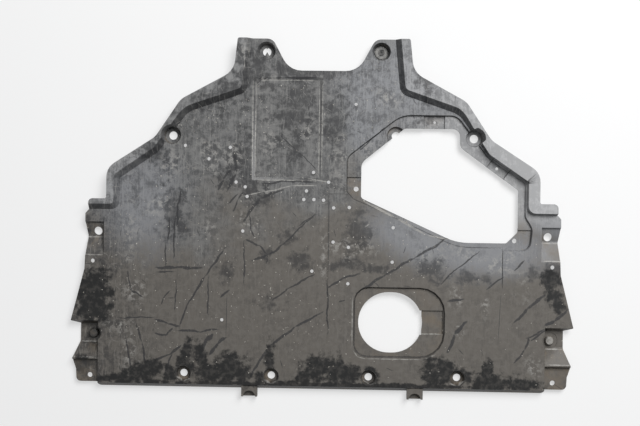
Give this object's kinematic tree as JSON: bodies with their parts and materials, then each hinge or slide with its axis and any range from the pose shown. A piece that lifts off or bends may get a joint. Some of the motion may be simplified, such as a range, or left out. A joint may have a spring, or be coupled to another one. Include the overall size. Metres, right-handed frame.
{
  "type": "engine splash shield",
  "caption": "Thin moulded underbody panel that closes the engine bay from below, with a large cut-out, a round access hole, dished fastener cups and drain holes.",
  "frame": {"origin": "centre of the overall box in X and Y, at its underside, where the fastener cups stand on the ground", "axes": "+Z out of the road-side face, which lies upwards; +Y from the front edge with the clips towards the rear tabs; +X towards the side with the cut-out"},
  "size_m": [1.0052, 0.718, 0.028],
  "materials": {
    "shield_plastic": "worn, scratched and dusty black moulding",
    "grommet_plastic": "dusty grey plastic",
    "pin_plastic": "dusty dark grey plastic"
  },
  "bodies": {
    "root": {"shield": "shield_plastic", "retainer_grommet": "grommet_plastic", "retainer_pin": "pin_plastic"}
  },
  "joints": []
}
